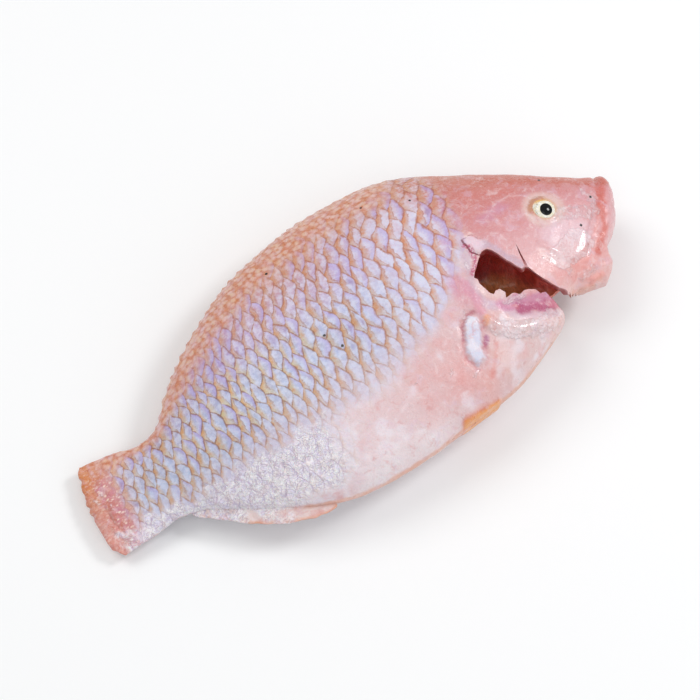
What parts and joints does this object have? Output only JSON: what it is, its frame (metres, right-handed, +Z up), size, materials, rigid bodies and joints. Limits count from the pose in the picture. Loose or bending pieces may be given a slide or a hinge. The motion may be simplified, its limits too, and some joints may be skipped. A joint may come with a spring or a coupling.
{
  "type": "whole raw fish, dressed",
  "caption": "Deep-bodied raw pink fish lying on its left side, scaled skin, fins trimmed to their roots, right gill opening cut back to an empty hollow.",
  "frame": {"origin": "under the middle of the fish's box, on the surface that it lies on", "axes": "+X to the snout, +Y to the back, +Z up, out of the right flank"},
  "size_m": [0.2592, 0.1208, 0.0478],
  "materials": {
    "skin": "wet fish skin, semi-gloss",
    "eye": "wet and clear over a pale iris and a black pupil"
  },
  "bodies": {
    "root": {"fish_body": "skin", "eye_right": "eye", "eye_left": "eye"}
  },
  "joints": []
}
